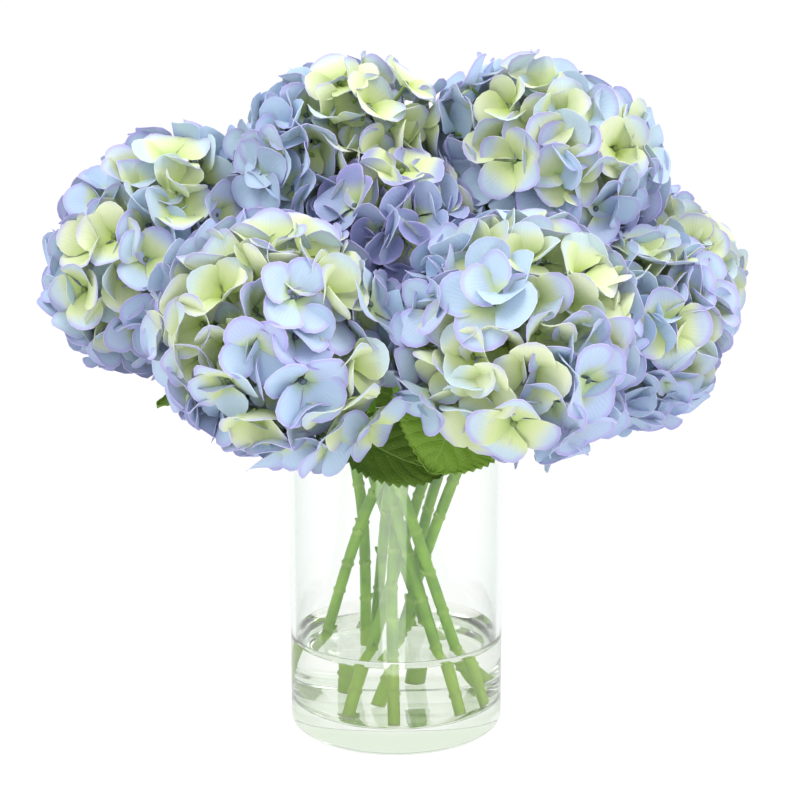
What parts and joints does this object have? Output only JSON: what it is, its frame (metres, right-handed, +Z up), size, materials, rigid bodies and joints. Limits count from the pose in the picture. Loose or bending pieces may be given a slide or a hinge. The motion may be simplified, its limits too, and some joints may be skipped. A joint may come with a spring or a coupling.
{
  "type": "hydrangeas in a vase",
  "caption": "Full bunch of mophead hydrangeas with blue, violet and pale green petals and serrated leaves, in a clear glass cylinder with set clear water.",
  "frame": {"origin": "centre of the vase's flat base, on the surface that it stands on", "axes": "+Z up along the vase's axis; the front of the bunch, as pictured, looks towards -Y"},
  "size_m": [0.4268, 0.3019, 0.3964],
  "materials": {
    "glass": "clear, polished",
    "water": "clear cast resin that stands for water",
    "stem": "moulded, satin, with joints",
    "stalk": "moulded, matte",
    "petal": "dyed cloth, blue to pale green, violet at the edges",
    "leaf": "dyed and pressed cloth, satin"
  },
  "bodies": {
    "root": {"vase": "glass", "set_water": "water", "stem_front_left": "stem", "stalks_front_left": "stalk", "florets_front_left": "petal", "stem_front_right": "stem", "stalks_front_right": "stalk", "florets_front_right": "petal", "stem_right_front": "stem", "stalks_right_front": "stalk", "florets_right_front": "petal", "stem_right_back": "stem", "stalks_right_back": "stalk", "florets_right_back": "petal", "stem_top_right": "stem", "stalks_top_right": "stalk", "florets_top_right": "petal", "stem_top_left": "stem", "stalks_top_left": "stalk", "florets_top_left": "petal", "stem_left": "stem", "stalks_left": "stalk", "florets_left": "petal", "stem_centre": "stem", "stalks_centre": "stalk", "florets_centre": "petal", "stem_back_right": "stem", "stalks_back_right": "stalk", "florets_back_right": "petal", "stem_back_left": "stem", "stalks_back_left": "stalk", "florets_back_left": "petal", "leaf_1": "leaf", "leaf_2": "leaf", "leaf_3": "leaf", "leaf_4": "leaf", "leaf_5": "leaf", "leaf_6": "leaf"}
  },
  "joints": []
}
